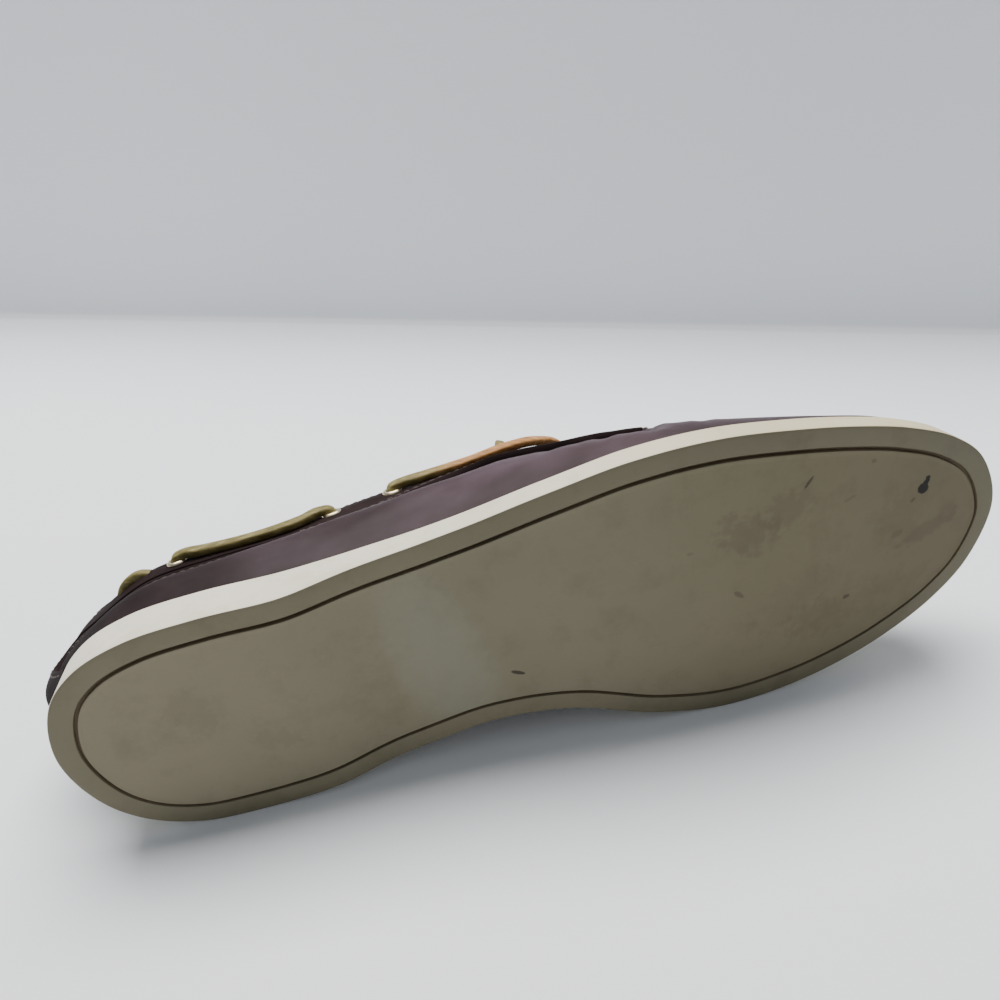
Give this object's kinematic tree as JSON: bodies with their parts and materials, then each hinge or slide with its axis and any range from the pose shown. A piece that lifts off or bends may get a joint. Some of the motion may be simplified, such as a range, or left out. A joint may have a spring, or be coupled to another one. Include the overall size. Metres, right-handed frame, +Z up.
{
  "type": "boat shoe",
  "caption": "Men's leather boat shoe for the right foot with a flat rubber sole and rawhide side lacing, lying on its medial side.",
  "frame": {"origin": "centre of the footprint of the lying shoe, on the floor", "axes": "+X from heel to toe, +Y from the sole towards the collar, +Z up from the floor, medial side down"},
  "size_m": [0.3066, 0.082, 0.1027],
  "materials": {
    "sole_rubber": "matte",
    "lining": "matte",
    "upper_leather": "satin",
    "eyelet_brass": "satin",
    "rawhide": "satin"
  },
  "bodies": {
    "root": {"outsole": "sole_rubber", "insole": "lining", "upper": "upper_leather", "tongue": "upper_leather", "eyelet_lateral_rear": "eyelet_brass", "eyelet_lateral_middle": "eyelet_brass", "eyelet_lateral_front": "eyelet_brass", "eyelet_lateral_upper": "eyelet_brass", "eyelet_lateral_lower": "eyelet_brass", "eyelet_medial_rear": "eyelet_brass", "eyelet_medial_middle": "eyelet_brass", "eyelet_medial_front": "eyelet_brass", "eyelet_medial_upper": "eyelet_brass", "eyelet_medial_lower": "eyelet_brass", "lace_cross": "rawhide", "lace_heel_lateral": "rawhide", "lace_rear_lateral": "rawhide", "lace_front_lateral": "rawhide", "lace_end_lateral": "rawhide", "lace_heel_medial": "rawhide", "lace_rear_medial": "rawhide", "lace_front_medial": "rawhide", "lace_end_medial": "rawhide"}
  },
  "joints": []
}
